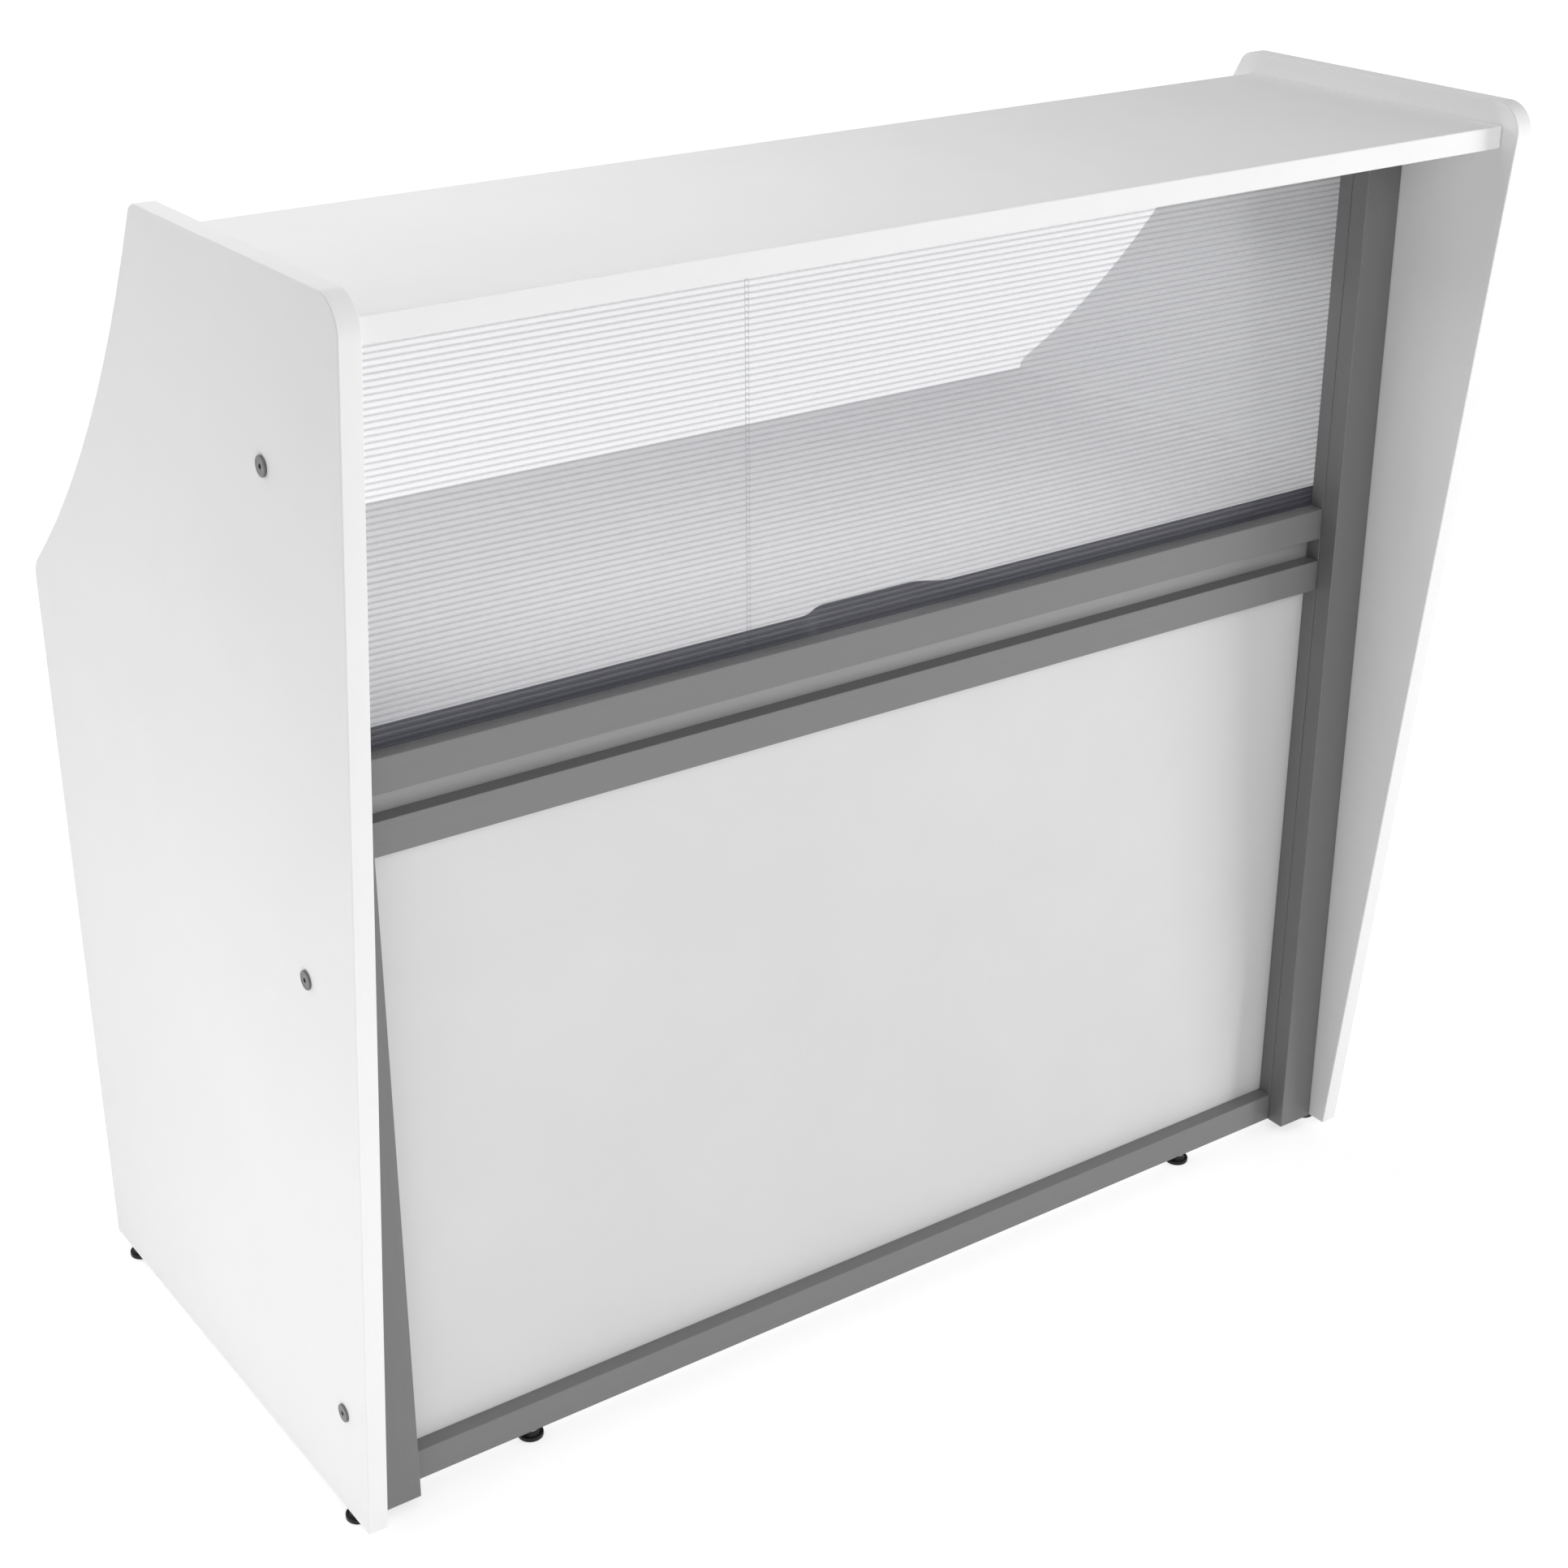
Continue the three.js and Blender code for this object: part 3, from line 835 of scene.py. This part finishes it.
# Steel angles under the worktop, and their pan-head screws with a cross recess
angleShape = {"edgeRadius": 0.5 * mm, "edgeSteps": 2}
screwShape = {
    "sides": 32,
    "headRadius": 4 * mm,
    "headHeight": 2.4 * mm,
    "domeShare": 0.62,  # of the head's height
    "domeFrom": 20,  # degrees from the crown
    "domeTurn": 70,
    "domeSteps": 6,
    "shankRadius": 1.75 * mm,
    "threadDepth": 0.4 * mm,
    "threadPitch": 1.4 * mm,
    "threadCrest": 0.4,  # share of the pitch
    "threadFoot": 0.7,
    "threadStop": 2.5 * mm,  # short of the point
    "pointLength": 2 * mm,
    "pointRadius": 0.2 * mm,
    "recessLength": 4.4 * mm,
    "recessWidth": 0.9 * mm,
    "recessDepth": 1.3 * mm,
    "smoothAngle": 35,
}


def screwProfile(length):
    head, rise = screwShape["headRadius"], screwShape["headHeight"]
    dome, steps = screwShape["domeShare"] * rise, screwShape["domeSteps"]
    crest, pitch = screwShape["shankRadius"], screwShape["threadPitch"]
    root = crest - screwShape["threadDepth"]
    profile = []
    for step in range(steps + 1):  # domed head, drawn from the crown outwards
        angle = math.radians(screwShape["domeFrom"] + screwShape["domeTurn"] * step / steps)
        profile.append((head * math.sin(angle), dome * (1 - math.cos(angle))))
    turn = ((root, 0), (crest, screwShape["threadCrest"]), (root, screwShape["threadFoot"]))
    rings, _ = threadRings(rise + pitch, length - screwShape["threadStop"], pitch, turn)
    return profile + [(head, rise), (root, rise)] + rings + [
        (root, length - screwShape["pointLength"]), (screwShape["pointRadius"], length)]


def modelScrew():
    low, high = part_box("worktop_screw_left_front")
    screw = turnedPiece("screwModel", screwProfile(high.z - low.z), screwShape["sides"])
    for turn in (0, 90):
        pickOnly(None)
        bpy.ops.mesh.primitive_cube_add(size=1, rotation=(0, 0, math.radians(turn)))
        recess = bpy.context.object
        recess.scale = (screwShape["recessLength"], screwShape["recessWidth"],
                        2 * screwShape["recessDepth"])
        bpy.ops.object.transform_apply(location=True, rotation=True, scale=True)
        cutAway(screw, recess)
    screw.data.materials.append(zinc)
    return screw


# A screw's head lies below the worktop, or on the inner side of a side panel
def driveScrew(model, node, turn):
    low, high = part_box(node)
    head = (low + high) / 2
    if turn == 0:
        head.z = low.z
    else:
        head.x = high.x if turn < 0 else low.x
    screw = placedCopy(model, node + "_turned", Matrix.Translation(head)
                       @ Matrix.Rotation(math.radians(turn), 4, "Y"))
    smoothShade(screw, screwShape["smoothAngle"])
    handOver(screw, node)


def makeAngle(node):
    angle = easedCopy(node, node + "_steel", angleShape["edgeRadius"], angleShape["edgeSteps"], 1)
    angle.data.materials.append(zinc)
    smoothShade(angle)
    handOver(angle, node)


screwModel = modelScrew()
for sideName in sideNames:
    makeAngle("worktop_angle_" + sideName)
    sideways = -90 if sideName == "left" else 90  # point runs into the side panel
    for kind, turn in (("worktop_screw", 0), ("panel_screw", sideways)):
        for place in ("front", "back"):
            driveScrew(screwModel, f"{kind}_{sideName}_{place}", turn)
    for place in ("front", "back"):
        frame["nodes"][f"shelf_dowel_{sideName}_{place}"].material_slots[0].material = beech
bpy.data.objects.remove(screwModel)
print("fittings done")

# Floor, light and camera
studio = {
    "floorSize": 80,
    "floorColour": (0.9, 0.9, 0.9),
    "shownColour": (0.6, 0.6, 0.6),
    "glow": (0.63, 1.0),  # near the desk and far from it
    "glowReach": (1.0, 6.0),
    "skyStrength": 0.25,
    "shownSky": 1.0,
}
# each soft light: place, what it faces, width, height and power,
# and the spread of its beam in degrees where that is narrow
softLights = {
    "light_front": ((0.5, -3.35, 0.65), (0.2, 0, 0.6), 2.4, 1.1, 7),
    "light_front_high": ((0.2, -3.0, 2.4), (0.1, 0, 0.9), 2.0, 1.2, 28.5),
    "light_right": ((3.0, -1.7, 0.9), (0.3, 0, 0.6), 1.4, 1.4, 10),
    "light_right_far": ((4.4, -2.9, 1.0), (0.2, 0, 0.6), 1.8, 1.4, 110),
    "light_left_high": ((-1.75, 0.1, 2.4), (-0.6, 0, 1.0), 1.0, 1.2, 5.5),
    "light_shelf": ((-0.55, 0.05, 2.5), (-0.35, -0.05, 1.15), 0.9, 0.7, 1.1, 70),
    "light_inside": ((0, -0.115, 1.0), (0, -0.115, 0.755), 0.95, 0.05, 0.78),
    "light_back": ((-1.1, 3.25, 1.85), (0.1, 0, 0.8), 2.2, 1.6, 45),
    "light_back_high": ((-0.6, 2.2, 2.6), (0, 0.1, 0.8), 1.6, 1.2, 18),
    "bounce_front": ((-1.15, -0.85, 0.02), (-0.75, -0.25, 0.6), 0.9, 0.9, 4.6),
    "bounce_left": ((-1.35, 0, 0.02), (-0.6, 0, 0.5), 0.9, 1.4, 6.2),
    "bounce_floor": ((0, 0, 0.003), (0, 0, 1), 4, 4, 7.7),
}
white = (1, 1, 1, 1)


# 1 for what the camera sees, also in a mirror or through a sheet, and 0 for cast light
def seenDirectly(tree, place):
    left, level = place
    path = addNode(tree, "ShaderNodeLightPath", place)
    first = mathOn(tree, "MAXIMUM", (left + 200, level),
                   path.outputs["Is Camera Ray"], path.outputs["Is Glossy Ray"])
    return mathOn(tree, "MAXIMUM", (left + 400, level), first, path.outputs["Is Transmission Ray"])


# One shader for cast light and another for what is seen
def chooseShader(tree, cast, seen, output):
    choose = addNode(tree, "ShaderNodeMixShader", (500, 0))
    tree.links.new(seenDirectly(tree, (-300, 500)), choose.inputs[0])
    tree.links.new(cast.outputs[0], choose.inputs[1])
    tree.links.new(seen.outputs[0], choose.inputs[2])
    tree.links.new(choose.outputs[0], output.inputs["Surface"])


def layFloor():
    pickOnly(None)
    bpy.ops.mesh.primitive_plane_add(size=studio["floorSize"], location=(0, 0, 0))
    floor = bpy.context.object
    floor.name = "studio_floor"
    material = bpy.data.materials.new("studioFloor")
    material.use_nodes = True
    tree = material.node_tree
    tree.nodes.clear()
    output = addNode(tree, "ShaderNodeOutputMaterial", (700, 0))
    plain = addNode(tree, "ShaderNodeBsdfDiffuse", (0, 200), Color=(*studio["floorColour"], 1))
    # what the camera sees: mostly white, darkened by a softened shadow
    faint = addNode(tree, "ShaderNodeBsdfDiffuse", (0, -200), Color=(*studio["shownColour"], 1))
    bright = addNode(tree, "ShaderNodeEmission", (0, -400), Color=white)
    coords = addNode(tree, "ShaderNodeTexCoord", (-800, -400))
    away = addNode(tree, "ShaderNodeVectorMath", (-600, -400), operation="LENGTH")
    tree.links.new(coords.outputs["Object"], away.inputs[0])
    glow = remap(tree, away.outputs["Value"], (-300, -400), *studio["glow"], *studio["glowReach"])
    tree.links.new(glow, bright.inputs["Strength"])
    shown = addNode(tree, "ShaderNodeAddShader", (200, -300))
    tree.links.new(faint.outputs[0], shown.inputs[0])
    tree.links.new(bright.outputs[0], shown.inputs[1])
    chooseShader(tree, plain, shown, output)
    floor.data.materials.append(material)


def lightSky():
    world = bpy.data.worlds.new("softSky")
    bpy.context.scene.world = world
    world.use_nodes = True
    tree = world.node_tree
    tree.nodes.clear()
    output = addNode(tree, "ShaderNodeOutputWorld", (700, 0))
    soft = addNode(tree, "ShaderNodeBackground", (0, 100), Color=white,
                   Strength=studio["skyStrength"])
    shown = addNode(tree, "ShaderNodeBackground", (0, -100), Color=white,
                    Strength=studio["shownSky"])
    chooseShader(tree, soft, shown, output)


def hangLight(name, place, aim, width, height, power, spread=180):
    lamp = bpy.data.lights.new(name, "AREA")
    lamp.shape = "RECTANGLE"
    lamp.size = width
    lamp.size_y = height
    lamp.energy = power
    lamp.spread = math.radians(spread)
    light = bpy.data.objects.new(name, lamp)
    bpy.context.scene.collection.objects.link(light)
    light.location = place
    light.rotation_euler = (Vector(aim) - Vector(place)).to_track_quat("-Z", "Y").to_euler()
    light.visible_camera = False
    light.visible_glossy = False


layFloor()
lightSky()
for name, setting in softLights.items():
    hangLight(name, *setting)

view = {"place": (-1.38, -1.9833, 1.6304), "lookDown": 25, "turn": -35, "angle": 33}
camera = bpy.data.objects.new("photo_camera", bpy.data.cameras.new("photo_camera"))
bpy.context.scene.collection.objects.link(camera)
camera.location = view["place"]
camera.rotation_euler = (math.radians(90 - view["lookDown"]), 0, math.radians(view["turn"]))
camera.data.angle = math.radians(view["angle"])
bpy.context.scene.camera = camera
bpy.context.scene.view_settings.view_transform = "Standard"
pickOnly(None)
print("studio ready")
